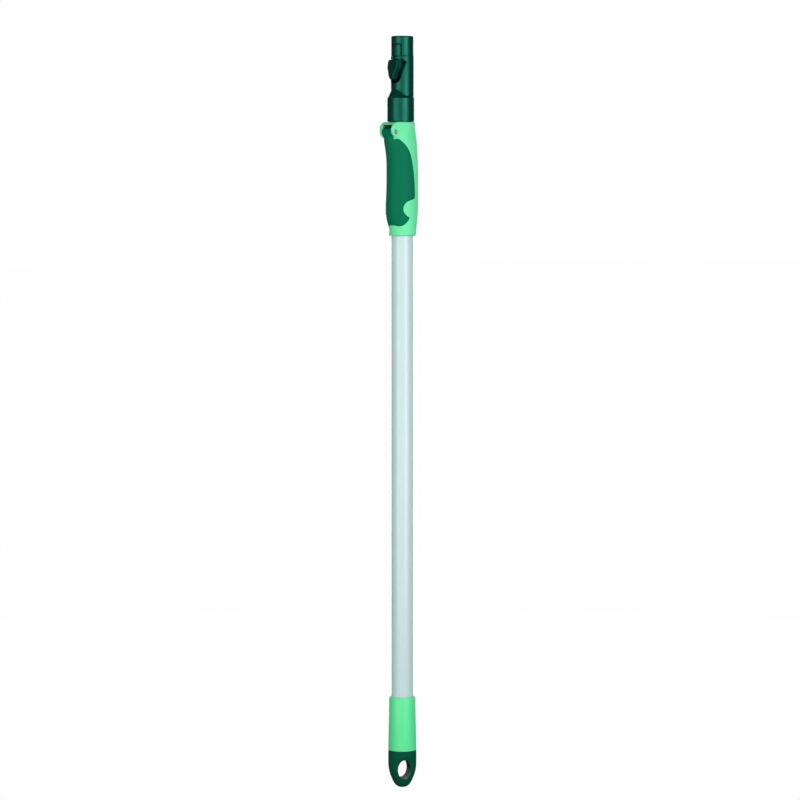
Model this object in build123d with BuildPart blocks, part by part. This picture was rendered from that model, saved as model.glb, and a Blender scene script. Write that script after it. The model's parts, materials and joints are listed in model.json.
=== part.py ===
from build123d import *
import math
import os

os.makedirs("parts", exist_ok=True)

# Telescopic window cleaning pole: a hand grip and hanging cap, an outer tube, a lever
# clamp, a sliding inner tube and a push-on tool connector with a release button.
# Millimetres. +Z runs up the pole, the origin is the tip of the end cap on the pole's
# axis, and the clamp lever faces -X, so its pivot pin lies along Y.

# --------------------------------------------------------------------------- sizes
# Tubes
outer_tube_diameter = 25.0
outer_tube_length = 672.5
outer_tube_wall = 0.8
inner_tube_wall = 0.8
tube_gap = 0.7  # radial, between the outer tube's bore and the inner tube
tube_overlap = 85.0  # length of inner tube that stays inside at full reach

# End cap and grip
cap_height = 42.5
cap_wall = 3.6  # radial, cap outside the tube's diameter
cap_tip_height = 30.0  # the elliptical lower end
cap_thickness = 24.0  # across the flats that the hanging hole passes through
cap_clocking = -28.0  # turn of the hanging hole about the pole, in degrees
cap_spigot_length = 18.0
hanging_hole_width = 14.8
hanging_hole_height = 22.4
hanging_hole_wall = 10.2  # below the hole
grip_length = 61.8
grip_top_wall = 2.65

# Clamp housing
housing_length = 128.6
tube_seat_depth = 85.0
skirt_height = 8.6
core_wall = 1.4  # wall round the tube under the lever
pin_drop = 11.5  # lever pin below the housing's top
ear_thickness = 3.6
hood_thickness = 3.4

# Lever, cam and brake
lever_wall = 2.75
lever_wrap = 5.3  # how far the lever's flanks pass the pole's axis
lever_neck_width = 16.2
cam_radius = 4.76
cam_throw = 0.62
pin_diameter = 5.0
pad_thickness = 1.15
shoe_thickness = 1.95
shoe_height = 11.4
shoe_width = 13.4
shoe_travel = 0.7
notch_radius = 9.7
notch_rise = 22.0  # centre of the thumb notch above the lever's tip

# Tool connector and latch
collar_height = 28.0
collar_wall = 2.4  # radial, collar outside the nose
collar_offset = 2.3  # the collar's own axis is this far ahead of the pole's
tube_insert_depth = 26.0
spigot_over_tube = 1.0  # the nose is this much wider than the outer tube
spigot_diameter = outer_tube_diameter + spigot_over_tube  # tool nose
spigot_length = 68.5
spigot_wall = 2.4
land_step = 0.3  # radial, the nose's upper end is a slightly smaller land for the tools
tongue_width = 15.8
tongue_length = 40.0
tongue_root_drop = 9.6  # tongue's bend line below the nose's top
slit_width = 1.2
button_height = 23.0
button_proud = 3.6

# Clearances
seat_gap = 0.1  # plugs, bushes and caps in their seats
slide_gap = 0.15  # sliding pieces round the inner tube
pin_gap = 0.05  # lever on its pin
lever_gap = 0.35  # lever to housing
brake_gap = 0.15  # pad to tube, and cam to shoe
stack_gap = 0.4  # collar above the housing when the pole is closed

# ----------------------------------------------------------------- derived places
outer_radius = outer_tube_diameter / 2
outer_bore = outer_radius - outer_tube_wall
inner_radius = outer_bore - tube_gap
inner_bore = inner_radius - inner_tube_wall
guide_radius = outer_bore - seat_gap

tube_top = cap_height + outer_tube_length
housing_bottom = tube_top - tube_seat_depth
housing_top = housing_bottom + housing_length
collar_bottom = housing_top + stack_gap
collar_top = collar_bottom + collar_height
nose_top = collar_top + spigot_length

core_radius = outer_radius + core_wall
cavity_radius = core_radius + lever_gap
body_half_width = cavity_radius + lever_wall
core_forward = 1.5  # the core's round front is this far ahead of the axis

shoe_back = inner_radius + brake_gap + pad_thickness + shoe_thickness
cam_shift = cam_throw * math.sqrt(0.5)
cam_forward = shoe_back + brake_gap + cam_radius
pin_forward = cam_forward + cam_shift
pin_height = housing_top - pin_drop
cam_height = pin_height - cam_shift
pin_radius = pin_diameter / 2
neck_half_width = lever_neck_width / 2
ear_inside = neck_half_width + lever_gap
ear_outside = ear_inside + ear_thickness
ear_bottom = pin_height - 8.1
cam_pocket_radius = cam_radius + cam_throw + lever_gap
shoe_height_low = pin_height - 3.8
shoe_centre_height = shoe_height_low + shoe_height / 2

lever_tip = housing_bottom + skirt_height
notch_height = lever_tip + notch_rise
notch_forward = 0.8
lever_length = pin_height - lever_tip

cap_radius = outer_radius + cap_wall
cap_spigot_top = cap_height + cap_spigot_length
guide_flange_bottom = cap_spigot_top + 1.0
guide_flange_height = 8.5
inner_tube_bottom = guide_flange_bottom + guide_flange_height
inner_tube_top = collar_bottom + tube_insert_depth
inner_tube_length = inner_tube_top - inner_tube_bottom
stop_ring_bottom = tube_top - tube_overlap
stop_ring_height = 10.0
extension_travel = stop_ring_bottom - inner_tube_bottom - lever_gap

spigot_radius = spigot_diameter / 2
spigot_bore = spigot_radius - spigot_wall
collar_radius = spigot_radius + collar_wall
collar_back = collar_radius - collar_offset
tongue_top = nose_top - tongue_root_drop
tongue_bottom = tongue_top - tongue_length
tongue_half_width = tongue_width / 2
button_top = tongue_bottom + button_height
hinge_groove_height = 3.8
land_bottom = button_top + hinge_groove_height
land_radius = spigot_radius - land_step

print("closed length", nose_top, "travel", extension_travel, "lever", lever_length)
print("pin", (-pin_forward, pin_height), "inner tube", inner_tube_length)

# --------------------------------------------------------------------- outer tube
rivet_radius = 1.6
end_rivet_height = cap_height + cap_spigot_length / 2
housing_rivet_heights = (lever_tip + 12.0, pin_height - 45.0)
with BuildPart() as outer_tube:
    with BuildSketch(Plane.XY.offset(cap_height)):
        Circle(outer_radius)
        Circle(outer_bore, mode=Mode.SUBTRACT)
    extrude(amount=outer_tube_length)
    with BuildSketch(Plane.YZ):
        with Locations((0, end_rivet_height)):
            Circle(rivet_radius)
    extrude(amount=outer_tube_diameter, both=True, mode=Mode.SUBTRACT)
    with BuildSketch(Plane.YZ):
        with Locations(*[(0, height) for height in housing_rivet_heights]):
            Circle(rivet_radius)
    extrude(amount=-outer_tube_diameter, mode=Mode.SUBTRACT)

# ------------------------------------------------------------------------ end cap
turn = math.radians(cap_clocking)
hole_direction = Vector(math.sin(turn), -math.cos(turn), 0)
hole_sideways = Vector(math.cos(turn), math.sin(turn), 0)
hole_plane = Plane(origin=(0, 0, 0), x_dir=hole_sideways, z_dir=hole_direction)
flat_plane = Plane(origin=(0, 0, 0), x_dir=hole_direction, z_dir=-hole_sideways)
cap_edge = 0.6
flat_half = cap_thickness / 2
rivet_depth = 3.0
flat_runout = 9.0

with BuildPart() as end_cap:
    with BuildSketch(Plane.XZ):
        with BuildLine():
            Spline(
                (0, 0),
                (cap_radius * math.sqrt(0.5), cap_tip_height * (1 - math.sqrt(0.5))),
                (cap_radius, cap_tip_height),
                tangents=((1, 0), (0, 1)),
            )
            Polyline(
                (cap_radius, cap_tip_height),
                (cap_radius, cap_height - cap_edge),
                (cap_radius - cap_edge, cap_height),
                (outer_bore - seat_gap, cap_height),
                (outer_bore - seat_gap, cap_spigot_top - cap_edge),
                (outer_bore - seat_gap - cap_edge, cap_spigot_top),
                (0, cap_spigot_top),
                (0, 0),
            )
        make_face()
    revolve(axis=Axis.Z)
    # The two flats run out into the round neck along an arc
    with BuildSketch(flat_plane):
        with BuildLine():
            low_end = (flat_half, cap_tip_height - flat_runout)
            high_end = (cap_radius + 1, cap_tip_height + flat_runout)
            Line((flat_half, -1), low_end)
            TangentArc(low_end, high_end, tangent=(0, 1))
            Polyline(high_end, (2 * cap_radius, high_end[1]), (2 * cap_radius, -1), (flat_half, -1))
        make_face()
        mirror(about=Plane.YZ)
    extrude(amount=cap_radius + 1, both=True, mode=Mode.SUBTRACT)
    with BuildSketch(hole_plane):
        with Locations((0, hanging_hole_wall + hanging_hole_height / 2)):
            Ellipse(hanging_hole_width / 2, hanging_hole_height / 2)
    extrude(amount=cap_radius + 1, both=True, mode=Mode.SUBTRACT)
    with BuildSketch(Plane.YZ.offset(outer_radius - rivet_depth)):
        with Locations((0, end_rivet_height)):
            Circle(rivet_radius)
    extrude(amount=rivet_depth, mode=Mode.SUBTRACT)
    with BuildSketch(Plane.YZ.offset(-outer_radius)):
        with Locations((0, end_rivet_height)):
            Circle(rivet_radius)
    extrude(amount=rivet_depth, mode=Mode.SUBTRACT)

with BuildPart() as end_cap_rivets:
    with BuildSketch(Plane.YZ.offset(outer_radius - rivet_depth)):
        with Locations((0, end_rivet_height)):
            Circle(rivet_radius)
    extrude(amount=rivet_depth - 0.15)
    mirror(about=Plane.YZ)

# --------------------------------------------------------------------- grip sleeve
grip_bottom = cap_height + 0.1
grip_top = grip_bottom + grip_length
grip_top_radius = outer_radius + grip_top_wall
with BuildPart() as grip_sleeve:
    with BuildSketch(Plane.XZ):
        with BuildLine():
            Polyline(
                (outer_radius, grip_bottom),
                (cap_radius, grip_bottom),
                (grip_top_radius, grip_top),
                (outer_radius, grip_top),
                close=True,
            )
        make_face()
    revolve(axis=Axis.Z)
    fillet(grip_sleeve.edges().group_by(Axis.Z)[-1].sort_by(SortBy.RADIUS)[-1], 1.4)
    chamfer(grip_sleeve.edges().group_by(Axis.Z)[-1].sort_by(SortBy.RADIUS)[0], 0.7)
    fillet(grip_sleeve.edges().group_by(Axis.Z)[0].sort_by(SortBy.RADIUS)[-1], 0.4)

# ----------------------------------------------------- clamp: shared outline solids
# Outside of the closed clamp: oval sections at even heights, each with its centre ahead
# of the axis, half depth along X and half width along Y. They swell round the lever's
# finger grip near the bottom and lean out under the pin near the top.
skirt_half_width = outer_radius + 3.5
body_sections = [
    (0.0, skirt_half_width, skirt_half_width),
    (0.05, skirt_half_width + 0.95, skirt_half_width + 0.4),
    (0.7, body_half_width + 2.3, body_half_width),
    (0.35, body_half_width + 2.1, body_half_width),
    (0.1, body_half_width + 1.65, body_half_width),
    (0.1, body_half_width + 1.6, body_half_width),
    (0.45, body_half_width + 1.55, body_half_width - 0.2),
    (1.9, body_half_width + 2.6, body_half_width - 0.6),
    (3.2, body_half_width + 2.5, body_half_width - 1.4),
    (0.3, body_half_width - 2.0, body_half_width - 2.4),
]
section_step = housing_length / (len(body_sections) - 1)
with BuildPart() as envelope:
    for index, (forward, half_depth, half_width) in enumerate(body_sections):
        with BuildSketch(Plane.XY.offset(housing_bottom + index * section_step)):
            with Locations((-forward, 0)):
                Ellipse(half_depth, half_width)
    loft()

# Side outline of the space that the lever fills: under the ears, down the flank,
# round the thumb notch and along the lever's rounded tip.
beyond = 2.5 * body_half_width
ear_root = pin_forward - 4.6


def lever_side_outline(inset):
    """Side outline of the lever's space in the housing, drawn in by inset all round."""
    radius = notch_radius + inset
    front_end = (-ear_root, ear_bottom - inset)
    flank_end = (lever_wrap - inset, notch_height + 12 + inset)
    notch_start = (-notch_forward - 0.31 * radius, notch_height + 0.95 * radius)
    notch_deepest = (-notch_forward - radius, notch_height)
    cusp = (-notch_forward - 0.2 * radius, notch_height - 0.98 * radius)
    tip_middle = (-body_half_width / 2, lever_tip + 4.0 + inset)
    tip_corner = (-body_half_width - 1.0, lever_tip + inset)
    with BuildSketch(Plane.XZ) as outline:
        with BuildLine():
            Line((-beyond, ear_bottom - inset), front_end)
            Spline(
                front_end,
                (-ear_root + 6.5 - inset, pin_height - 14.1 - inset / 2),
                (-ear_root + 11.8 - inset, pin_height - 21.1 - inset / 2),
                (-ear_root + 15.5 - inset, pin_height - 32.4),
                (-ear_root + 19.3 - inset, pin_height - 55.1),
                flank_end,
            )
            Line(flank_end, notch_start)
            ThreePointArc(notch_start, notch_deepest, cusp)
            ThreePointArc(cusp, tip_middle, tip_corner)
            Polyline(tip_corner, (-beyond, tip_corner[1]), (-beyond, front_end[1]))
        make_face()
        fillet(outline.vertices().sort_by_distance((*flank_end, 0))[0], 1.5)
        fillet(outline.vertices().sort_by_distance((*cusp, 0))[0], 0.8 + inset)
    return outline.sketch_local


def core_section(height, radius):
    """Section of the core, or of the lever's inside: a round front and straight sides."""
    with BuildSketch(Plane.XY.offset(height)) as section:
        with Locations((-core_forward, 0)):
            Circle(radius)
            Rectangle(core_forward + 8, 2 * radius, align=(Align.MIN, Align.CENTER))
    return section.sketch


with BuildPart() as lever_space:
    with BuildSketch(Plane.XZ.offset(-beyond)):
        add(lever_side_outline(0))
    extrude(amount=2 * beyond)

# ------------------------------------------------------------------ clamp housing
ear_reach = pin_forward + 4.7
ear_nose_radius = (housing_top - ear_bottom - 1.0) / 2
ear_nose_height = housing_top - ear_nose_radius
hood_underside = housing_top - hood_thickness
core_top = shoe_height_low - 0.3
pocket_back = shoe_back - brake_gap
bush_top = pin_height - 6.4
seal_bottom = housing_top - 2.7
seal_radius = inner_radius + 1.6
pin_recess_radius = pin_radius + 0.8
pin_recess_depth = 0.9
rivet_head_radius = 2.7
rivet_head_height = 1.2
core_front = core_forward + core_radius

ear_corner = 1.5
# Head: ears and hood in one, round the pin from the side and drawn in to the ears' front
# from above
with BuildPart() as clamp_head:
    with BuildSketch(Plane.XY.offset(ear_bottom)):
        Circle(body_half_width - 2.3)
        with Locations((-ear_reach + ear_corner, 0)):
            with GridLocations(0, 2 * (ear_outside - ear_corner), 1, 2):
                Circle(ear_corner)
        make_hull()
    extrude(amount=housing_top - ear_bottom)
    with BuildSketch(Plane.XZ):
        with Locations((-ear_reach + ear_nose_radius, ear_nose_height)):
            Circle(ear_nose_radius)
            Rectangle(ear_reach - ear_nose_radius, 2 * ear_nose_radius, align=(Align.MIN, Align.CENTER))
    extrude(amount=body_half_width, both=True, mode=Mode.INTERSECT)

with BuildPart() as core:
    extrude(core_section(lever_tip - 1, core_radius), amount=core_top - lever_tip + 1)
    add(envelope.part, mode=Mode.INTERSECT)

with BuildPart() as clamp_housing:
    add(envelope.part)
    chamfer(clamp_housing.edges().group_by(Axis.Z)[0], 1.5)
    add(clamp_head.part)
    add(lever_space.part, mode=Mode.SUBTRACT)
    add(core.part)
    # Pocket between the ears for the lever's neck and cam
    with BuildSketch(Plane.XZ):
        with Locations((-pin_forward, pin_height)):
            Circle(cam_pocket_radius)
        with Locations((-pocket_back, core_top)):
            Rectangle(beyond, hood_underside - core_top, align=(Align.MAX, Align.MIN))
        with Locations((-core_forward - cavity_radius, core_top)):
            Rectangle(beyond, core_top - ear_bottom + 1, align=(Align.MAX, Align.MAX))
    extrude(amount=ear_inside, both=True, mode=Mode.SUBTRACT)
    # Window for the brake shoe
    with BuildSketch(Plane.XY.offset(core_top)):
        with Locations((-inner_radius / 2, 0)):
            Rectangle(pocket_back, shoe_width + 0.6, align=(Align.MAX, Align.CENTER))
    extrude(amount=shoe_height + 0.6, mode=Mode.SUBTRACT)
    # Bores for the outer tube and bush, the inner tube and the seal
    with BuildSketch(Plane.XY.offset(housing_bottom)):
        Circle(outer_radius)
    extrude(amount=bush_top - housing_bottom, mode=Mode.SUBTRACT)
    with BuildSketch(Plane.XY.offset(bush_top)):
        Circle(inner_radius + 2 * slide_gap)
    extrude(amount=housing_top - bush_top, mode=Mode.SUBTRACT)
    with BuildSketch(Plane.XY.offset(seal_bottom)):
        Circle(seal_radius)
    extrude(amount=housing_top - seal_bottom, mode=Mode.SUBTRACT)
    # Pin hole with a recess in each ear
    with BuildSketch(Plane.XZ):
        with Locations((-pin_forward, pin_height)):
            Circle(pin_radius)
    extrude(amount=ear_outside + 1, both=True, mode=Mode.SUBTRACT)
    for side in (-1, 1):
        with BuildSketch(Plane.XZ.offset(side * ear_outside)):
            with Locations((-pin_forward, pin_height)):
                Circle(pin_recess_radius)
        extrude(amount=-side * pin_recess_depth, mode=Mode.SUBTRACT)
    # Rivet holes under the lever
    with BuildSketch(Plane.YZ.offset(-core_front)):
        with Locations(*[(0, height) for height in housing_rivet_heights]):
            Circle(rivet_radius)
    extrude(amount=core_wall + core_forward + 1, mode=Mode.SUBTRACT)
    with BuildSketch(Plane.YZ.offset(-core_front)):
        with Locations(*[(0, height) for height in housing_rivet_heights]):
            Circle(rivet_head_radius)
    extrude(amount=rivet_head_height, mode=Mode.SUBTRACT)

with BuildPart() as housing_rivets:
    with BuildSketch(Plane.YZ.offset(-core_front + 0.1)):
        with Locations(*[(0, height) for height in housing_rivet_heights]):
            Circle(rivet_head_radius)
    extrude(amount=rivet_head_height - 0.1)
    with BuildSketch(Plane.YZ.offset(-core_front + rivet_head_height)):
        with Locations(*[(0, height) for height in housing_rivet_heights]):
            Circle(rivet_radius)
    extrude(amount=core_front - rivet_head_height - outer_bore - 0.05)

with BuildPart() as guide_bush:
    with BuildSketch(Plane.XY.offset(tube_top)):
        Circle(outer_radius)
        Circle(inner_radius + slide_gap, mode=Mode.SUBTRACT)
    extrude(amount=bush_top - tube_top)
    chamfer(guide_bush.edges().filter_by(GeomType.CIRCLE).sort_by(SortBy.RADIUS)[:2], 0.5)

with BuildPart() as wiper_seal:
    with BuildSketch(Plane.XY.offset(seal_bottom)):
        Circle(seal_radius)
        Circle(inner_radius + slide_gap, mode=Mode.SUBTRACT)
    extrude(amount=housing_top - seal_bottom - 0.2)
    chamfer(wiper_seal.edges().group_by(Axis.Z)[-1].sort_by(SortBy.RADIUS)[0], 0.8)

with BuildPart() as stop_ring:
    with BuildSketch(Plane.XY.offset(stop_ring_bottom)):
        Circle(outer_bore)
        Circle(inner_radius + slide_gap, mode=Mode.SUBTRACT)
    extrude(amount=stop_ring_height)

# ---------------------------------------------------------------- lever and brake
with BuildPart() as lever_pin:
    with BuildSketch(Plane.XZ.offset(-ear_outside + pin_recess_depth - 0.3)):
        with Locations((-pin_forward, pin_height)):
            Circle(pin_radius)
    extrude(amount=2 * (ear_outside - pin_recess_depth + 0.3))
    fillet(lever_pin.edges().filter_by(GeomType.CIRCLE), 0.5)

neck_inside = core_forward + cavity_radius
with BuildPart() as lever_neck:
    with BuildSketch(Plane.XZ):
        with BuildLine():
            Polyline(
                (-neck_inside, pin_height - 20),
                (-neck_inside, core_top - 0.5),
                (-cam_forward + 1.0, cam_height),
                (-cam_forward - cam_radius, cam_height),
                (-cam_forward - cam_radius, pin_height - 20),
                close=True,
            )
        make_face()
    extrude(amount=neck_half_width, both=True)
    add(envelope.part, mode=Mode.INTERSECT)
    with BuildSketch(Plane.XZ):
        with Locations((-cam_forward, cam_height)):
            Circle(cam_radius)
    extrude(amount=neck_half_width, both=True)

with BuildPart() as clamp_lever:
    add(envelope.part)
    with BuildSketch(Plane.XZ.offset(-beyond)):
        add(lever_side_outline(lever_gap))
    extrude(amount=2 * beyond, mode=Mode.INTERSECT)
    cavity = core_section(lever_tip - 2, cavity_radius)
    extrude(cavity, amount=ear_bottom - lever_tip + 4, mode=Mode.SUBTRACT)
    add(lever_neck.part)
    with BuildSketch(Plane.XZ):
        with Locations((-pin_forward, pin_height)):
            Circle(pin_radius + pin_gap)
    extrude(amount=beyond, both=True, mode=Mode.SUBTRACT)

pad_back = inner_radius + brake_gap + pad_thickness
with BuildPart() as brake_shoe:
    with BuildSketch(Plane.XY.offset(shoe_height_low)):
        with Locations((-shoe_back, 0)):
            Rectangle(shoe_back - inner_radius * 0.8, shoe_width, align=(Align.MIN, Align.CENTER))
        Circle(pad_back, mode=Mode.SUBTRACT)
    extrude(amount=shoe_height)

with BuildPart() as brake_pad:
    with BuildSketch(Plane.XY.offset(shoe_height_low + 0.3)):
        Circle(pad_back)
        Circle(inner_radius + brake_gap, mode=Mode.SUBTRACT)
        with Locations((-inner_radius / 2, 0)):
            Rectangle(pad_back, shoe_width - 0.6, align=(Align.MAX, Align.CENTER), mode=Mode.INTERSECT)
    extrude(amount=shoe_height - 0.6)

# ------------------------------------------------------------ inner tube assembly
cross_pin_radius = 1.5
rivet_gap = 0.3  # rivet ends short of the tube's bore
cross_pin_height = inner_tube_bottom + 12
collar_rivet_height = collar_bottom + collar_height / 2
with BuildPart() as inner_tube:
    with BuildSketch(Plane.XY.offset(inner_tube_bottom)):
        Circle(inner_radius)
        Circle(inner_bore, mode=Mode.SUBTRACT)
    extrude(amount=inner_tube_length)
    with BuildSketch(Plane.XZ):
        with Locations((0, cross_pin_height)):
            Circle(cross_pin_radius)
    extrude(amount=outer_radius, both=True, mode=Mode.SUBTRACT)
    with BuildSketch(Plane.YZ):
        with Locations((0, collar_rivet_height)):
            Circle(rivet_radius)
    extrude(amount=outer_radius, mode=Mode.SUBTRACT)

groove_floor = guide_radius - 2.0
groove_low = guide_flange_bottom + 2.5
groove_high = groove_low + 3.5
guide_plug_length = 22.0
with BuildPart() as slide_guide:
    with BuildSketch(Plane.XZ):
        with BuildLine():
            Polyline(
                (0, guide_flange_bottom),
                (guide_radius - 0.6, guide_flange_bottom),
                (guide_radius, guide_flange_bottom + 0.6),
                (guide_radius, groove_low),
                (groove_floor, groove_low),
                (groove_floor, groove_high),
                (guide_radius, groove_high),
                (guide_radius, inner_tube_bottom),
                (inner_bore - seat_gap, inner_tube_bottom),
                (inner_bore - seat_gap, inner_tube_bottom + guide_plug_length),
                (inner_bore - 3.5, inner_tube_bottom + guide_plug_length),
                (inner_bore - 3.5, inner_tube_bottom),
                (0, inner_tube_bottom),
                close=True,
            )
        make_face()
    revolve(axis=Axis.Z)
    with BuildSketch(Plane.XZ):
        with Locations((0, cross_pin_height)):
            Circle(cross_pin_radius)
    extrude(amount=outer_radius, both=True, mode=Mode.SUBTRACT)

with BuildPart() as guide_cross_pin:
    with BuildSketch(Plane.XZ):
        with Locations((0, cross_pin_height)):
            Circle(cross_pin_radius)
    extrude(amount=inner_radius - 0.1, both=True)
    chamfer(guide_cross_pin.edges().filter_by(GeomType.CIRCLE), 0.3)

with BuildPart() as friction_ring:
    with BuildSketch(Plane.XY.offset(groove_low + 0.1)):
        Circle(outer_bore - pin_gap)
        Circle(groove_floor + pin_gap, mode=Mode.SUBTRACT)
    extrude(amount=groove_high - groove_low - 0.2)
    fillet(friction_ring.edges().filter_by(GeomType.CIRCLE).sort_by(SortBy.RADIUS)[-2:], 1.0)

# ----------------------------------------------------------------- tool connector
front_plane = Plane(origin=(0, 0, 0), x_dir=(0, -1, 0), z_dir=(-1, 0, 0))
heel_radius = spigot_radius - 0.4
heel_offset = collar_radius + collar_offset - heel_radius - 0.6
heel_rise = 9.3
heel_taper = 24.4
collar_chamfer = 1.2
rim_chamfer = 0.8
slot_top = tongue_top + lever_gap
slit_half = tongue_half_width + slit_width
pocket_half = spigot_radius - 0.9

with BuildPart() as tool_connector:
    with BuildSketch(Plane.XY.offset(collar_bottom)):
        with Locations((-collar_offset, 0)):
            Circle(collar_radius)
    extrude(amount=collar_height)
    chamfer(tool_connector.edges().group_by(Axis.Z)[-1], collar_chamfer)
    with BuildSketch(Plane.XY.offset(collar_bottom + collar_height - collar_chamfer)):
        with Locations((-heel_offset, 0)):
            Circle(heel_radius)
    extrude(amount=collar_chamfer)
    with BuildSketch(Plane.XY.offset(collar_bottom + collar_height)):
        with Locations((-heel_offset, 0)):
            Circle(heel_radius)
    extrude(amount=heel_rise, taper=heel_taper)
    with BuildSketch(Plane.XY.offset(collar_bottom)):
        Circle(spigot_radius)
    extrude(amount=land_bottom - collar_bottom)
    with BuildSketch(Plane.XY.offset(land_bottom)):
        Circle(land_radius)
    extrude(amount=nose_top - land_bottom)
    chamfer(tool_connector.edges().group_by(Axis.Z)[-1], rim_chamfer)
    with BuildSketch(Plane.XY.offset(collar_bottom)):
        Circle(inner_radius)
    extrude(amount=tube_insert_depth, mode=Mode.SUBTRACT)
    with BuildSketch(Plane.XY.offset(inner_tube_top)):
        Circle(spigot_bore)
    extrude(amount=nose_top - inner_tube_top, mode=Mode.SUBTRACT)
    # Slits beside the tongue and the pocket round the button
    with BuildSketch(front_plane):
        with BuildLine():
            Polyline(
                (0, slot_top),
                (slit_half, slot_top),
                (slit_half, button_top + 1.4),
                (pocket_half, button_top - 3.0),
                (slit_half - 0.4, tongue_bottom + 3.0),
            )
            ThreePointArc(
                (slit_half - 0.4, tongue_bottom + 3.0),
                (slit_half - 3.0, tongue_bottom - 1.6),
                (0, tongue_bottom - 3.3),
            )
            Line((0, tongue_bottom - 3.3), (0, slot_top))
        make_face()
        mirror(about=Plane.YZ)
    extrude(amount=spigot_radius + 1, mode=Mode.SUBTRACT)
    with BuildSketch(Plane.YZ):
        with Locations((0, collar_rivet_height)):
            Circle(rivet_radius)
    extrude(amount=collar_radius + 1, mode=Mode.SUBTRACT)

with BuildPart() as connector_rivet:
    with BuildSketch(Plane.YZ.offset(inner_bore + rivet_gap)):
        with Locations((0, collar_rivet_height)):
            Circle(rivet_radius)
    extrude(amount=collar_back - inner_bore - rivet_gap)
    with BuildSketch(Plane.YZ.offset(collar_back)):
        with Locations((0, collar_rivet_height)):
            Circle(rivet_head_radius)
    extrude(amount=rivet_head_height)
    fillet(connector_rivet.edges().group_by(Axis.X)[-1], 0.8)

with BuildPart() as nose_plug:
    with BuildSketch(Plane.XY.offset(nose_top - 4.0)):
        Circle(spigot_bore - pin_gap)
    extrude(amount=3.6)
    with BuildSketch(Plane.XY.offset(nose_top - 4.0)):
        Circle(spigot_bore - 1.6)
    extrude(amount=2.0, mode=Mode.SUBTRACT)

# ------------------------------------------------------------------- latch tongue
tongue_outside = land_radius - pin_gap
tongue_inside = spigot_bore + seat_gap
hinge_groove_depth = 1.0
with BuildPart() as latch_tongue:
    with BuildSketch(front_plane):
        with BuildLine():
            Polyline(
                (0, tongue_top),
                (tongue_half_width, tongue_top),
                (tongue_half_width, tongue_bottom + 14.0),
                (5.0, tongue_bottom + 7.6),
                (3.2, tongue_bottom + 2.0),
            )
            ThreePointArc(
                (3.2, tongue_bottom + 2.0),
                (2.2, tongue_bottom + 0.5),
                (0, tongue_bottom),
            )
            Line((0, tongue_bottom), (0, tongue_top))
        make_face()
        mirror(about=Plane.YZ)
    extrude(amount=spigot_radius + button_proud + 3)
    with BuildSketch(Plane.XZ):
        with BuildLine():
            Polyline(
                (-spigot_radius / 3, tongue_bottom - 1),
                (-spigot_radius - 2.0, tongue_bottom - 1),
                (-spigot_radius - button_proud, tongue_bottom + 1.6),
                (-spigot_radius - button_proud - 0.7, tongue_bottom + 4.2),
                (-spigot_radius - 1.6, button_top - 2.4),
                (-spigot_radius - 0.8, button_top - 0.6),
                (-spigot_radius + 1.5, button_top),
                (-spigot_radius + 1.5, land_bottom),
                (-spigot_radius - 3, land_bottom),
                (-spigot_radius - 3, tongue_top + 1),
                (-spigot_radius / 3, tongue_top + 1),
                close=True,
            )
        make_face()
    extrude(amount=spigot_radius, both=True, mode=Mode.INTERSECT)
    # Above the button the tongue keeps to the nose's own wall
    with BuildSketch(Plane.XY.offset(button_top)):
        Circle(2 * spigot_radius)
        Circle(tongue_outside - hinge_groove_depth, mode=Mode.SUBTRACT)
    extrude(amount=hinge_groove_height, mode=Mode.SUBTRACT)
    with BuildSketch(Plane.XY.offset(land_bottom)):
        Circle(2 * spigot_radius)
        Circle(tongue_outside, mode=Mode.SUBTRACT)
    extrude(amount=tongue_length, mode=Mode.SUBTRACT)
    with BuildSketch(Plane.XY.offset(tongue_bottom - 1)):
        Circle(tongue_inside)
    extrude(amount=tongue_length + 2, mode=Mode.SUBTRACT)

# ------------------------------------------------------------------------- export
pieces = {
    "outer_tube": outer_tube,
    "end_cap": end_cap,
    "end_cap_rivets": end_cap_rivets,
    "grip_sleeve": grip_sleeve,
    "clamp_housing": clamp_housing,
    "housing_rivets": housing_rivets,
    "guide_bush": guide_bush,
    "wiper_seal": wiper_seal,
    "stop_ring": stop_ring,
    "lever_pin": lever_pin,
    "clamp_lever": clamp_lever,
    "brake_shoe": brake_shoe,
    "brake_pad": brake_pad,
    "inner_tube": inner_tube,
    "slide_guide": slide_guide,
    "guide_cross_pin": guide_cross_pin,
    "friction_ring": friction_ring,
    "tool_connector": tool_connector,
    "connector_rivet": connector_rivet,
    "nose_plug": nose_plug,
    "latch_tongue": latch_tongue,
}
for name, piece in pieces.items():
    piece.part.label = name
    export_step(piece.part, f"parts/{name}.step")
    print(name, len(piece.part.solids()), round(piece.part.volume))
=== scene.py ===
# %% [markdown]
# This lesson dresses a window cleaning pole in Blender. The engineer's model already has
# every piece in its place: an end cap with a hanging hole, a soft grip, two aluminium tubes,
# a clamp with a lever, and a nose that tools click onto. We keep those places, build the
# pieces that show with softer edges, and give each one a material that starts from what the
# real piece is made of. Everything is in metres, with Z up along the pole.

# %% Load the engineer's model
import json
import math

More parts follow.
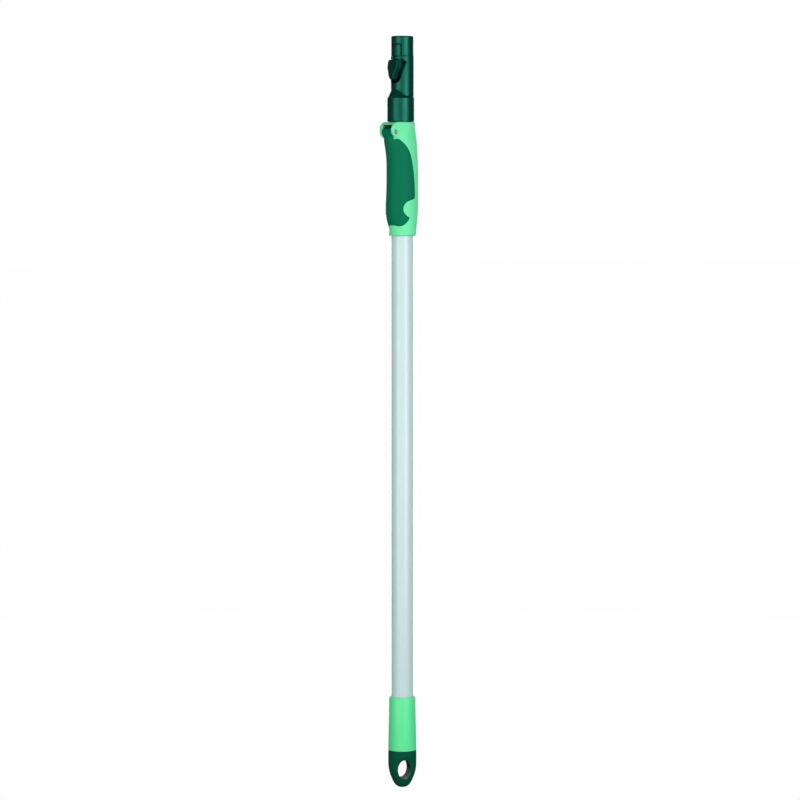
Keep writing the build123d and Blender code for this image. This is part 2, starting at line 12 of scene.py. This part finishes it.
import bpy
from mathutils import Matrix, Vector


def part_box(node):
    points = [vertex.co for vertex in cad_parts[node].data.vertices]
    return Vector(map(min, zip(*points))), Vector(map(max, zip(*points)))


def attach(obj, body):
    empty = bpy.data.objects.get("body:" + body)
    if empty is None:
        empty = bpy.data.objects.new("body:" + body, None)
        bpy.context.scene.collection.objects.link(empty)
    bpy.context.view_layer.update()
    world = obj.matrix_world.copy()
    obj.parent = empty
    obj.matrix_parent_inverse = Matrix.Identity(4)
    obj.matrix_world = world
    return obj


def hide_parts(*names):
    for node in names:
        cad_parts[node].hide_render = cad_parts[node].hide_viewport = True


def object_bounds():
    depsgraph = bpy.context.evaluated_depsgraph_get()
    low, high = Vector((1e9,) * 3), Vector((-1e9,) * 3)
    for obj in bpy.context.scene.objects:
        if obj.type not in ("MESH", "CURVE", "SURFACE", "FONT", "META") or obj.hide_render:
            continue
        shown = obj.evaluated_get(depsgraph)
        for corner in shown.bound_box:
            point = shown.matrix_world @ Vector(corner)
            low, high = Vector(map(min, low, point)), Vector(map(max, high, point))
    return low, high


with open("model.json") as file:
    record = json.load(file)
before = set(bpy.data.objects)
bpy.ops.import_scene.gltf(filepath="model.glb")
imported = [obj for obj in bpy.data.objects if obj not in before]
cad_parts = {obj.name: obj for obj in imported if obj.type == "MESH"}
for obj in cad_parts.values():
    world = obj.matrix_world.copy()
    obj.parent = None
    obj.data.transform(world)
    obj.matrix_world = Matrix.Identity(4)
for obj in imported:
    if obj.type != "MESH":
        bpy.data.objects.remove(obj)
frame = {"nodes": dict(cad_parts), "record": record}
cad_low, cad_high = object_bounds()
print("pole from", tuple(cad_low), "to", tuple(cad_high))

MM = 0.001
BODY_OF = {node: body for body, group in frame["record"]["behaviour"]["bodies"].items() for node in group}

# %% [markdown]
# Paint makers give colours as sRGB hex values, but Blender's shaders calculate in linear
# light, so one function turns one into the other. A second small function adds a node with
# its options and its inputs, where an input is either a plain value or another node's
# output. All the node trees below, for materials and for geometry, are made with it.

# %% Two helpers: colours and nodes
def linear(hex_colour):
    """sRGB hex text, such as '#40c080', as a linear RGBA colour."""
    shares = [int(hex_colour[i : i + 2], 16) / 255 for i in (1, 3, 5)]
    return [s / 12.92 if s <= 0.04045 else ((s + 0.055) / 1.055) ** 2.4 for s in shares] + [1.0]


def add(tree, kind, options=None, inputs=None):
    """Adds one node; inputs maps a socket's name or number to a value or to an output."""
    node = tree.nodes.new(kind)
    for name, value in (options or {}).items():
        setattr(node, name, value)
    for name, value in (inputs or {}).items():
        if isinstance(value, bpy.types.NodeSocket):
            tree.links.new(value, node.inputs[name])
        else:
            node.inputs[name].default_value = value
    return node


# %% [markdown]
# The camera comes first, so that each later step can be looked at. A long lens from over
# three metres keeps the pole's sides parallel, as a catalogue picture does. It stands at
# chest height, near the level of the clamp, and looks down a little at the pole's middle, so
# the round edges near the foot sag and those near the top look straight.

# %% Camera
POLE_TURN = math.radians(-40)
towards_camera = Vector((math.sin(POLE_TURN), -math.cos(POLE_TURN), 0))
towards_right = Vector((math.cos(POLE_TURN), math.sin(POLE_TURN), 0))
EYE_HEIGHT = 0.66
EYE_DISTANCE = 3.8
AIM_HEIGHT = 0.4436
LENS_LENGTH = 150.6  # mm
LENS_SHIFT = -0.0029  # share of the picture's width
camera = bpy.data.objects.new("camera", bpy.data.cameras.new("camera"))
bpy.context.scene.collection.objects.link(camera)
camera.data.lens = LENS_LENGTH
camera.data.shift_x = LENS_SHIFT
camera.location = towards_camera * EYE_DISTANCE + Vector((0, 0, EYE_HEIGHT))
view_line = Vector((0, 0, AIM_HEIGHT)) - camera.location
camera.rotation_euler = view_line.to_track_quat("-Z", "Y").to_euler()
bpy.context.scene.camera = camera
bpy.context.scene.view_settings.view_transform = "Standard"
print("camera at", tuple(round(v, 3) for v in camera.location))

# %% [markdown]
# Round glossy tubes show their lights as stripes, so the stripes decide where the lights
# stand. A stripe a third of the way from the middle to the edge comes from a light well
# round to that side, because a mirror turns a ray by twice the angle of its surface. Two
# tall narrow boxes make the stripes, three soft ones in front fill the colours, and two
# weak ones light the back for anyone who walks round the pole.

# %% Studio lights
LIGHT_DISTANCE = 1.6


def softbox(name, turn, height, width, tall, power):
    """A soft light of that many watts that faces the pole, turned in degrees from the camera."""
    light = bpy.data.objects.new(name, bpy.data.lights.new(name, "AREA"))
    light.data.shape = "RECTANGLE"
    light.data.size, light.data.size_y = width, tall
    light.data.energy = power
    angle = math.radians(turn)
    way = towards_camera * math.cos(angle) + towards_right * math.sin(angle)
    light.location = way * LIGHT_DISTANCE + Vector((0, 0, height))
    aim = Vector((0, 0, AIM_HEIGHT)) - light.location
    light.rotation_euler = aim.to_track_quat("-Z", "Y").to_euler()
    light.visible_camera = False
    bpy.context.scene.collection.objects.link(light)


softbox("left_fill", -38, 0.6, 1.2, 1.5, 13)
softbox("right_fill", 36, 0.6, 1.2, 1.5, 18)
softbox("middle_fill", -4, 0.5, 0.5, 1.5, 2.5)
softbox("left_stripe", -50, 0.5, 0.16, 1.9, 2.2)
softbox("right_stripe", 47, 0.5, 0.16, 1.9, 3.2)
softbox("back_left", -165, 0.6, 0.7, 1.6, 8)
softbox("back_right", 160, 0.6, 0.7, 1.6, 8)
print("seven softboxes")

# %% [markdown]
# The set is a white sweep. The world gives an even glow, weaker for the light that falls on
# the pole than for what the lens sees. Reflections see a dim room instead, as they would
# with black flags beside the pole, which gives the dark mouldings their dark edges. The
# floor glows as well, so that it runs into the backdrop with no line.

# %% White sweep
WHITE = (1, 1, 1, 1)
GLOW_ON_POLE = 0.3
GLOW_IN_REFLECTIONS = 0.06
GLOW_SEEN = 1.0
FLOOR_GLOW = 0.985  # share of the floor's look that is glow
FLOOR_SIZE = 60
FLOOR_DROP = 0.0002
world = bpy.data.worlds.new("white_sweep")
bpy.context.scene.world = world
world.use_nodes = True
world.node_tree.nodes.clear()
ray = add(world.node_tree, "ShaderNodeLightPath")
glow = add(world.node_tree, "ShaderNodeBackground", inputs={"Color": WHITE, "Strength": GLOW_ON_POLE})
seen = add(world.node_tree, "ShaderNodeBackground", inputs={"Color": WHITE, "Strength": GLOW_SEEN})
flags = add(world.node_tree, "ShaderNodeBackground", inputs={"Color": WHITE, "Strength": GLOW_IN_REFLECTIONS})
around = add(world.node_tree, "ShaderNodeMixShader",
             inputs={0: ray.outputs["Is Glossy Ray"], 1: glow.outputs[0], 2: flags.outputs[0]})
sweep = add(world.node_tree, "ShaderNodeMixShader",
            inputs={0: ray.outputs["Is Camera Ray"], 1: around.outputs[0], 2: seen.outputs[0]})
add(world.node_tree, "ShaderNodeOutputWorld", inputs={"Surface": sweep.outputs[0]})

floor_paint = bpy.data.materials.new("white_vinyl_floor")
floor_paint.use_nodes = True
tree = floor_paint.node_tree
tree.nodes.clear()
speck = add(tree, "ShaderNodeTexNoise", inputs={"Scale": 40.0, "Detail": 3.0})
tone = add(tree, "ShaderNodeMix", {"data_type": "RGBA"},
           {"Factor": speck.outputs["Fac"], "A": linear("#f6f6f6"), "B": linear("#ffffff")})
matt = add(tree, "ShaderNodeBsdfDiffuse", inputs={"Color": tone.outputs["Result"]})
lit = add(tree, "ShaderNodeEmission", inputs={"Color": WHITE, "Strength": GLOW_SEEN})
both = add(tree, "ShaderNodeMixShader", inputs={0: FLOOR_GLOW, 1: matt.outputs[0], 2: lit.outputs[0]})
add(tree, "ShaderNodeOutputMaterial", inputs={"Surface": both.outputs[0]})

bpy.ops.mesh.primitive_plane_add(size=FLOOR_SIZE, location=(0, 0, cad_low.z - FLOOR_DROP))
floor = bpy.context.object
floor.name = "floor"
floor.data.materials.append(floor_paint)
floor.visible_diffuse = False
floor.visible_glossy = False


# %% [markdown]
# Moulded plastic is never one flat colour. The mould is spark-eroded or blasted, so the skin
# has a fine grain that breaks up the shine. The colour drifts a little where the melt flowed
# and cooled, and handling lightens the raised edges. Gaps and hollows get painted shade: an
# Ambient Occlusion node finds them by how much of the sky each point sees, and there the
# colour is darkened towards near black. One function makes that kind of finish, and each
# piece gives its own colours, grain and shine. Real mouldings have none, but it gives the nose and
# the plug deep, dark edges between bright stripes, as a polished dark moulding has.
# Patterns are sized in real millimetres: a noise of scale 1 has features a metre across, so
# the scale is one over the size. Moulded grain is about 0.1 mm on real parts, which is finer
# than a render can show, so it is drawn two to four times as coarse.

# %% Moulded plastic
FLOW_SIZE = 9 * MM
FLOW_STRETCH = (1, 1, 0.25)  # flow marks run up the pole
PATCH_SIZE = 28 * MM
EDGE_STARTS, EDGE_FULL = 0.53, 0.62  # pointiness of a raised edge
MOST_WEAR = 0.4
# Painted shade: gaps and hollows within this reach are darkened towards a near-black green, up to this share
# of it.
GAP_REACH = 7 * MM
PAINTED_SHADE_COLOUR = "#06110d"
PAINTED_SHADE_SHARE = 0.93
NOISE_LOW, NOISE_HIGH = 0.3, 0.7  # where most of a noise's values lie


def moulded(name, body, flow, worn, grain, grain_depth, roughness, ior=1.5, gleam=0.3, pearl=0.0,
            itself_only=False, open_sky=0.62, closed_sky=0.3):
    """A moulded plastic: body colour, flow marks, worn edges, grain size and depth in mm.

    Painted shade starts where a point sees less than open_sky and is full at closed_sky. With
    itself_only, other pieces and the floor don't count as cover.
    """
    material = bpy.data.materials.new(name)
    material.use_nodes = True
    tree = material.node_tree
    tree.nodes.clear()
    place = add(tree, "ShaderNodeTexCoord").outputs["Object"]
    drawn_out = add(tree, "ShaderNodeMapping", inputs={"Vector": place, "Scale": FLOW_STRETCH})
    drift = add(tree, "ShaderNodeTexNoise",
                inputs={"Vector": drawn_out.outputs[0], "Scale": 1 / FLOW_SIZE,
                        "Detail": 4.0, "Roughness": 0.6})
    fine = add(tree, "ShaderNodeTexNoise",
               inputs={"Vector": place, "Scale": 1 / (grain * MM), "Detail": 2.0, "Roughness": 0.5})
    broad = add(tree, "ShaderNodeTexNoise",
                inputs={"Vector": place, "Scale": 1 / PATCH_SIZE, "Detail": 2.0, "Distortion": 0.6})
    flowed = add(tree, "ShaderNodeMix", {"data_type": "RGBA"},
                 {"Factor": drift.outputs["Fac"], "A": linear(body), "B": linear(flow)})
    edge = add(tree, "ShaderNodeNewGeometry").outputs["Pointiness"]
    raised = add(tree, "ShaderNodeMapRange", {"interpolation_type": "SMOOTHSTEP"},
                 {"Value": edge, "From Min": EDGE_STARTS, "From Max": EDGE_FULL,
                  "To Min": 0.0, "To Max": MOST_WEAR})
    patchy = add(tree, "ShaderNodeMath", {"operation": "MULTIPLY"},
                 {0: raised.outputs[0], 1: broad.outputs["Fac"]})
    handled = add(tree, "ShaderNodeMix", {"data_type": "RGBA"},
                  {"Factor": patchy.outputs[0], "A": flowed.outputs["Result"], "B": linear(worn)})
    # Painted shade: where the Ambient Occlusion node sees little open sky, the colour is darkened towards a
    # near-black green.
    sky = add(tree, "ShaderNodeAmbientOcclusion", {"samples": 8, "only_local": itself_only},
              {"Distance": GAP_REACH})
    painted_shade_mask = add(tree, "ShaderNodeMapRange", {"interpolation_type": "SMOOTHSTEP"},
              {"Value": sky.outputs["AO"], "From Min": open_sky, "From Max": closed_sky,
               "To Min": 0.0, "To Max": PAINTED_SHADE_SHARE})
    colour = add(tree, "ShaderNodeMix", {"data_type": "RGBA"},
                 {"Factor": painted_shade_mask.outputs[0], "A": handled.outputs["Result"], "B": linear(PAINTED_SHADE_COLOUR)})
    shine = add(tree, "ShaderNodeMapRange",
                inputs={"Value": broad.outputs["Fac"], "From Min": NOISE_LOW, "From Max": NOISE_HIGH,
                        "To Min": roughness - 0.05, "To Max": roughness + 0.06})
    bump = add(tree, "ShaderNodeBump",
               inputs={"Strength": 0.6, "Distance": grain_depth * MM, "Height": fine.outputs["Fac"]})
    shader = add(tree, "ShaderNodeBsdfPrincipled",
                 inputs={"Base Color": colour.outputs["Result"], "Roughness": shine.outputs[0], "IOR": ior,
                         "Specular IOR Level": gleam, "Metallic": pearl, "Normal": bump.outputs[0]})
    add(tree, "ShaderNodeOutputMaterial", inputs={"Surface": shader.outputs[0]})
    return material


# The sleeve is a soft thermoplastic rubber with a dull, slightly grippy skin.
GRIP_RUBBER = moulded("soft_tpe_rubber_mint_green", "#56dd90", "#5fe499", "#90f2b8",
                      0.45, 0.04, 0.34, gleam=0.35)
# The cap is glass-filled nylon, dark and satin, with a coarser blasted skin. Its painted
# shade starts early and counts only the cap itself as cover, so the hanging hole's wall is darkened.
CAP_NYLON = moulded("glass_filled_nylon_bottle_green", "#034833", "#05543c", "#0f6d4f",
                    0.35, 0.04, 0.45, gleam=0.03, itself_only=True, open_sky=0.95, closed_sky=0.7)
# The clamp's shell is unfilled nylon, light and satin.
SHELL_NYLON = moulded("moulded_nylon_light_mint", "#64dc9c", "#6be2a4", "#9df2c5",
                      0.3, 0.03, 0.5, gleam=0.2)
# The lever is the same nylon in a deeper green, with hardly any gleam.
LEVER_NYLON = moulded("moulded_nylon_sea_green", "#026747", "#036f4d", "#11805b",
                      0.3, 0.025, 0.48, gleam=0.04)
# The tool nose and its latch are a stiff polyester from a polished mould, with a half gloss.
NOSE_PBT = moulded("moulded_pbt_deep_teal", "#065244", "#085b4b", "#157562",
                   0.25, 0.015, 0.38, ior=1.54, pearl=0.75)
# The plug that closes the nose is acetal: dense, slippery and nearly black.
PLUG_ACETAL = moulded("moulded_acetal_blackish_green", "#073b33", "#09443b", "#1a6052",
                      0.25, 0.02, 0.36, ior=1.48, pearl=0.4)
# Bushes and guides are white acetal, self-lubricating, with a waxy look.
BUSH_ACETAL = moulded("moulded_acetal_natural_white", "#e4e6e1", "#d9dcd6", "#f2f3ef",
                      0.25, 0.015, 0.4, ior=1.48)
# The brake shoe is black glass-filled nylon.
SHOE_NYLON = moulded("glass_filled_nylon_black", "#17191a", "#1e2122", "#3a3e40", 0.35, 0.04, 0.5)
# The seal, the friction ring and the brake pad are nitrile rubber, dull and dusty.
NITRILE = moulded("moulded_nitrile_rubber_black", "#141515", "#1d1e1e", "#303232",
                  0.4, 0.05, 0.66, ior=1.52)
print("nine moulded plastics and rubbers")


# %% [markdown]
# A drawn tube keeps the lines of the die along its length, far finer across than along. The
# same noise does for it, squeezed across and stretched along by a Mapping node. The outer
# tube is then lacquered a pale greenish white, so no bare metal shows and its lines are
# faint. The inner one is anodised metal, and its lines stand out more.

# %% Drawn aluminium and steel
CLOUD_SIZE = 35 * MM


def drawn_metal(name, body, streak, metallic, roughness, line_width, line_length, depth, axis="Z"):
    """Metal with lines along one axis: two colours, and line sizes and depth in mm."""
    material = bpy.data.materials.new(name)
    material.use_nodes = True
    tree = material.node_tree
    tree.nodes.clear()
    place = add(tree, "ShaderNodeTexCoord").outputs["Object"]
    along = {"X": 0, "Y": 1, "Z": 2}[axis]
    scales = [1 / (line_width * MM)] * 3
    scales[along] = 1 / (line_length * MM)
    squeezed = add(tree, "ShaderNodeMapping", inputs={"Vector": place, "Scale": scales})
    lines = add(tree, "ShaderNodeTexNoise",
                inputs={"Vector": squeezed.outputs[0], "Scale": 1.0, "Detail": 3.0, "Roughness": 0.55})
    cloud = add(tree, "ShaderNodeTexNoise",
                inputs={"Vector": place, "Scale": 1 / CLOUD_SIZE, "Detail": 3.0, "Roughness": 0.5})
    tint = add(tree, "ShaderNodeMath", {"operation": "MULTIPLY"},
               {0: lines.outputs["Fac"], 1: cloud.outputs["Fac"]})
    colour = add(tree, "ShaderNodeMix", {"data_type": "RGBA"},
                 {"Factor": tint.outputs[0], "A": linear(body), "B": linear(streak)})
    shine = add(tree, "ShaderNodeMapRange",
                inputs={"Value": lines.outputs["Fac"], "From Min": NOISE_LOW, "From Max": NOISE_HIGH,
                        "To Min": roughness - 0.05, "To Max": roughness + 0.07})
    bump = add(tree, "ShaderNodeBump",
               inputs={"Strength": 0.5, "Distance": depth * MM, "Height": lines.outputs["Fac"]})
    shader = add(tree, "ShaderNodeBsdfPrincipled",
                 inputs={"Base Color": colour.outputs["Result"], "Metallic": metallic,
                         "Roughness": shine.outputs[0], "Normal": bump.outputs[0]})
    add(tree, "ShaderNodeOutputMaterial", inputs={"Surface": shader.outputs[0]})
    return material


LACQUERED_TUBE = drawn_metal("lacquered_aluminium_pale_mint", "#bfd6d7", "#b5cfcf",
                             0.0, 0.24, 0.5, 60, 0.006)
ANODISED_TUBE = drawn_metal("anodised_aluminium_natural", "#c9cfce", "#b2b9b8",
                            1.0, 0.28, 0.35, 80, 0.008)
ZINC_RIVET = drawn_metal("zinc_plated_steel_rivet", "#b4b7ba", "#8f9498",
                         1.0, 0.34, 0.6, 0.6, 0.01, axis="X")
BRIGHT_PIN = drawn_metal("bright_drawn_steel_pin", "#d2dcd7", "#aeb9b4",
                         1.0, 0.4, 0.25, 20, 0.006, axis="Y")
print("four metals")

# %% [markdown]
# The tubes and the soft grip are rings: a flat wall turned round the pole. A Geometry Nodes
# tree says that rule once. A four-cornered wall section has its corners rounded by Fillet
# Curve, and Curve to Mesh carries it round a circle whose radius is the bore. The circle's
# own frame turns the section's Y downwards, so heights go in as negative numbers and the
# ring is lifted to its place afterwards. Its sizes are named inputs, and each modifier sets
# them by socket identifier.

# %% Geometry Nodes: a turned ring
def new_tree(name, sizes):
    """A Geometry Nodes tree with those named number inputs and a material input."""
    tree = bpy.data.node_groups.new(name, "GeometryNodeTree")
    tree.interface.new_socket("Geometry", in_out="OUTPUT", socket_type="NodeSocketGeometry")
    for size in sizes:
        kind = "NodeSocketInt" if size in ("Sides", "Count") else "NodeSocketFloat"
        tree.interface.new_socket(size, in_out="INPUT", socket_type=kind)
    tree.interface.new_socket("Material", in_out="INPUT", socket_type="NodeSocketMaterial")
    return tree, add(tree, "NodeGroupInput").outputs


def finish_tree(tree, given, geometry):
    """Ends a tree in real mesh with its material."""
    real = add(tree, "GeometryNodeRealizeInstances", inputs={0: geometry})
    painted = add(tree, "GeometryNodeSetMaterial",
                  inputs={"Geometry": real.outputs[0], "Material": given["Material"]})
    add(tree, "NodeGroupOutput", inputs={0: painted.outputs[0]})


CORNER_STEPS = 5
RING_SIZES = ["Bore Radius", "Lower Wall", "Upper Wall", "Bottom", "Length", "Rounding", "Sides"]
ring_tree, given = new_tree("turned_ring", RING_SIZES)
down = add(ring_tree, "ShaderNodeMath", {"operation": "MULTIPLY"},
           {0: given["Length"], 1: -1.0}).outputs[0]
top_inner = add(ring_tree, "ShaderNodeCombineXYZ", inputs={"Y": down})
top_outer = add(ring_tree, "ShaderNodeCombineXYZ", inputs={"X": given["Upper Wall"], "Y": down})
low_outer = add(ring_tree, "ShaderNodeCombineXYZ", inputs={"X": given["Lower Wall"]})
wall = add(ring_tree, "GeometryNodeCurvePrimitiveQuadrilateral", {"mode": "POINTS"},
           {"Point 1": (0, 0, 0), "Point 2": top_inner.outputs[0],
            "Point 3": top_outer.outputs[0], "Point 4": low_outer.outputs[0]})
soft_wall = add(ring_tree, "GeometryNodeFilletCurve", {"mode": "POLY"},
                {"Curve": wall.outputs[0], "Count": CORNER_STEPS,
                 "Radius": given["Rounding"], "Limit Radius": True})
hoop = add(ring_tree, "GeometryNodeCurvePrimitiveCircle",
           inputs={"Resolution": given["Sides"], "Radius": given["Bore Radius"]})
turned = add(ring_tree, "GeometryNodeCurveToMesh",
             inputs={"Curve": hoop.outputs[0], "Profile Curve": soft_wall.outputs[0]})
lift = add(ring_tree, "ShaderNodeCombineXYZ", inputs={"Z": given["Bottom"]})
lifted = add(ring_tree, "GeometryNodeTransform",
             inputs={"Geometry": turned.outputs[0], "Translation": lift.outputs[0]})
finish_tree(ring_tree, given, lifted.outputs[0])


# %% [markdown]
# A tree's result is live, so it is turned into a plain mesh before it joins the pole. Smooth
# faces give even highlights on the round walls, and the rounded corners need no sharp edges.

# %% From tree to finished piece
def join_pole(piece, material, *nodes):
    """The piece rides with the nodes' body, stands for them and is shaded smooth."""
    piece.data.polygons.foreach_set("use_smooth", [True] * len(piece.data.polygons))
    if material.name not in piece.data.materials:
        piece.data.materials.clear()
        piece.data.materials.append(material)
    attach(piece, BODY_OF[nodes[0]])
    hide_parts(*nodes)
    print(piece.name, len(piece.data.polygons), "faces")
    return piece


def grow(name, tree, sizes, material):
    """Runs a tree with these sizes and returns its result as a plain mesh object."""
    seed = bpy.data.objects.new(name, bpy.data.meshes.new(name))
    bpy.context.scene.collection.objects.link(seed)
    modifier = seed.modifiers.new("rule", "NODES")
    modifier.node_group = tree
    sockets = {s.name: s.identifier for s in tree.interface.items_tree if s.in_out == "INPUT"}
    for size, value in sizes.items():
        modifier[sockets[size]] = value
    modifier[sockets["Material"]] = material
    evaluated = seed.evaluated_get(bpy.context.evaluated_depsgraph_get())
    mesh = bpy.data.meshes.new_from_object(evaluated)
    seed.modifiers.clear()
    seed.data = mesh
    return seed


RING_SIDES = 160
TUBE_WALL = 0.8 * MM
TUBE_ROUNDING = 0.25 * MM
GRIP_ROUNDING = 1.3 * MM
GRIP_UPPER_WALL = 2.65 * MM  # the sleeve is thinner at its upper end


def ring_on(node, material, bore, rounding, upper=None):
    """A turned ring in a node's own place; upper is the top's outer radius if it tapers."""
    low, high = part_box(node)
    upper = upper or high.x
    ring = grow(node + "_turned", ring_tree,
                {"Bore Radius": bore, "Lower Wall": high.x - bore, "Upper Wall": upper - bore,
                 "Bottom": low.z, "Length": high.z - low.z, "Rounding": rounding,
                 "Sides": RING_SIDES}, material)
    return join_pole(ring, material, node)


outer_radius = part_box("outer_tube")[1].x
inner_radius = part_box("inner_tube")[1].x
ring_on("outer_tube", LACQUERED_TUBE, outer_radius - TUBE_WALL, TUBE_ROUNDING)
ring_on("inner_tube", ANODISED_TUBE, inner_radius - TUBE_WALL, TUBE_ROUNDING)
grip_upper = outer_radius + GRIP_UPPER_WALL
grip = ring_on("grip_sleeve", GRIP_RUBBER, outer_radius, GRIP_ROUNDING, upper=grip_upper)

# %% [markdown]
# Rivets repeat, so one tree sets them out: points in a row up the pole, and on each the same
# domed head on a short shank. The head is a sphere that is flattened along the rivet's own
# axis, and its inner half is pushed flat to make a closed back.

# %% Geometry Nodes: a row of rivets
HEAD_RINGS = 24
ROUND_SIDES = 32
RIVET_SIZES = ["Count", "First Height", "Spacing", "Outward",
               "Head Radius", "Head Height", "Shank Radius", "Shank Length"]
rivet_tree, given = new_tree("rivet_row", RIVET_SIZES)
head = add(rivet_tree, "GeometryNodeMeshUVSphere",
           inputs={"Segments": ROUND_SIDES, "Rings": HEAD_RINGS, "Radius": given["Head Radius"]})
squash = add(rivet_tree, "ShaderNodeMath", {"operation": "DIVIDE"},
             {0: given["Head Height"], 1: given["Head Radius"]})
flatness = add(rivet_tree, "ShaderNodeCombineXYZ", inputs={"X": 1.0, "Y": 1.0, "Z": squash.outputs[0]})
dome = add(rivet_tree, "GeometryNodeTransform",
           inputs={"Geometry": head.outputs["Mesh"], "Scale": flatness.outputs[0]})
height = add(rivet_tree, "GeometryNodeInputPosition")
above = add(rivet_tree, "ShaderNodeSeparateXYZ", inputs={0: height.outputs[0]})
flat_back = add(rivet_tree, "ShaderNodeMath", {"operation": "MAXIMUM"}, {0: above.outputs["Z"], 1: 0.0})
settled = add(rivet_tree, "ShaderNodeCombineXYZ",
              inputs={"X": above.outputs["X"], "Y": above.outputs["Y"], "Z": flat_back.outputs[0]})
button = add(rivet_tree, "GeometryNodeSetPosition",
             inputs={"Geometry": dome.outputs[0], "Position": settled.outputs[0]})
shank = add(rivet_tree, "GeometryNodeMeshCylinder",
            inputs={"Vertices": ROUND_SIDES, "Radius": given["Shank Radius"], "Depth": given["Shank Length"]})
half = add(rivet_tree, "ShaderNodeMath", {"operation": "MULTIPLY"}, {0: given["Shank Length"], 1: -0.5})
sink = add(rivet_tree, "ShaderNodeCombineXYZ", inputs={"Z": half.outputs[0]})
sunk = add(rivet_tree, "GeometryNodeTransform",
           inputs={"Geometry": shank.outputs["Mesh"], "Translation": sink.outputs[0]})
rivet = add(rivet_tree, "GeometryNodeJoinGeometry")
rivet_tree.links.new(button.outputs[0], rivet.inputs[0])
rivet_tree.links.new(sunk.outputs[0], rivet.inputs[0])
first = add(rivet_tree, "ShaderNodeCombineXYZ", inputs={"X": given["Outward"], "Z": given["First Height"]})
step = add(rivet_tree, "ShaderNodeCombineXYZ", inputs={"Z": given["Spacing"]})
row = add(rivet_tree, "GeometryNodeMeshLine",
          inputs={"Count": given["Count"], "Start Location": first.outputs[0], "Offset": step.outputs[0]})
facing = add(rivet_tree, "ShaderNodeMath", {"operation": "SIGN"}, {0: given["Outward"]})
quarter = add(rivet_tree, "ShaderNodeMath", {"operation": "MULTIPLY"},
              {0: facing.outputs[0], 1: math.pi / 2})
turn = add(rivet_tree, "ShaderNodeCombineXYZ", inputs={"Y": quarter.outputs[0]})
aimed = add(rivet_tree, "FunctionNodeEulerToRotation", inputs={0: turn.outputs[0]})
placed = add(rivet_tree, "GeometryNodeInstanceOnPoints",
             inputs={"Points": row.outputs[0], "Instance": rivet.outputs[0], "Rotation": aimed.outputs[0]})
finish_tree(rivet_tree, given, placed.outputs[0])


SHANK_RADIUS = 1.58 * MM
HOUSING_HEAD = 1.0 * MM
CONNECTOR_HEAD = 1.2 * MM


def rivets_on(node, count, spacing, outward_sign, head_height):
    """A row of rivets in a node's own place, on the side that outward_sign gives."""
    low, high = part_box(node)
    reach = high.x if outward_sign > 0 else -low.x
    head_radius = (high.y - low.y) / 2
    depth = high.x - low.x - head_height
    sizes = {"Count": count, "First Height": low.z + head_radius, "Spacing": spacing,
             "Outward": outward_sign * (reach - head_height), "Head Radius": head_radius,
             "Head Height": head_height, "Shank Radius": SHANK_RADIUS, "Shank Length": depth}
    return join_pole(grow(node + "_domed", rivet_tree, sizes, ZINC_RIVET), ZINC_RIVET, node)


low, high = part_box("housing_rivets")
rivet_spacing = (high.z - low.z) - (high.y - low.y)
rivets_on("housing_rivets", 2, rivet_spacing, -1, HOUSING_HEAD)
rivets_on("connector_rivet", 1, 0.0, 1, CONNECTOR_HEAD)


# %% [markdown]
# Moulded pieces have no knife edges: the mould's corners are a little round, and the two
# halves of the clamp meet in a soft line. The engineer's solids have sharp corners, so each
# one is copied and its surface is wrapped again in even small squares with Remesh. A few
# passes of Smooth round every corner by about the size of a square, and the broad faces stay
# where they were. A Bevel modifier would be lighter, but it stops at the many slivers where
# curved faces cross.

# %% Soft-edged mouldings
WELD_GAP = 0.002 * MM
HALF_WAY = 0.5  # how far each Smooth pass moves a corner


def soften(node, material, square, passes):
    """A copy of a node's solid with every corner rounded by about one square, in mm."""
    source = frame["nodes"][node]
    piece = bpy.data.objects.new(node + "_moulding", source.data.copy())
    bpy.context.scene.collection.objects.link(piece)
    weld = piece.modifiers.new("weld", "WELD")
    weld.merge_threshold = WELD_GAP
    wrap = piece.modifiers.new("wrap", "REMESH")
    wrap.mode = "VOXEL"
    wrap.voxel_size = square * MM
    relax = piece.modifiers.new("relax", "SMOOTH")
    relax.factor = HALF_WAY
    relax.iterations = passes
    evaluated = piece.evaluated_get(bpy.context.evaluated_depsgraph_get())
    mesh = bpy.data.meshes.new_from_object(evaluated)
    piece.modifiers.clear()
    piece.data = mesh
    piece.data.materials.clear()
    join_pole(piece, material, node)


soften("end_cap", CAP_NYLON, 0.42, 5)
soften("clamp_housing", SHELL_NYLON, 0.62, 3)
soften("clamp_lever", LEVER_NYLON, 0.5, 4)
soften("tool_connector", NOSE_PBT, 0.48, 3)
soften("latch_tongue", NOSE_PBT, 0.3, 4)

# %% [markdown]
# The pieces inside the pole keep the engineer's shape and only get their finish. They show
# when the lever swings open or the pole is pulled out.

# %% Finishes for the pieces inside
INSIDE = {
    "end_cap_rivets": ZINC_RIVET,
    "guide_bush": BUSH_ACETAL,
    "wiper_seal": NITRILE,
    "stop_ring": BUSH_ACETAL,
    "lever_pin": BRIGHT_PIN,
    "brake_shoe": SHOE_NYLON,
    "brake_pad": NITRILE,
    "slide_guide": BUSH_ACETAL,
    "guide_cross_pin": BRIGHT_PIN,
    "friction_ring": NITRILE,
    "nose_plug": PLUG_ACETAL,
}
for node, material in INSIDE.items():
    mesh = frame["nodes"][node].data
    mesh.materials.clear()
    mesh.materials.append(material)
print(len(INSIDE), "inner pieces finished")
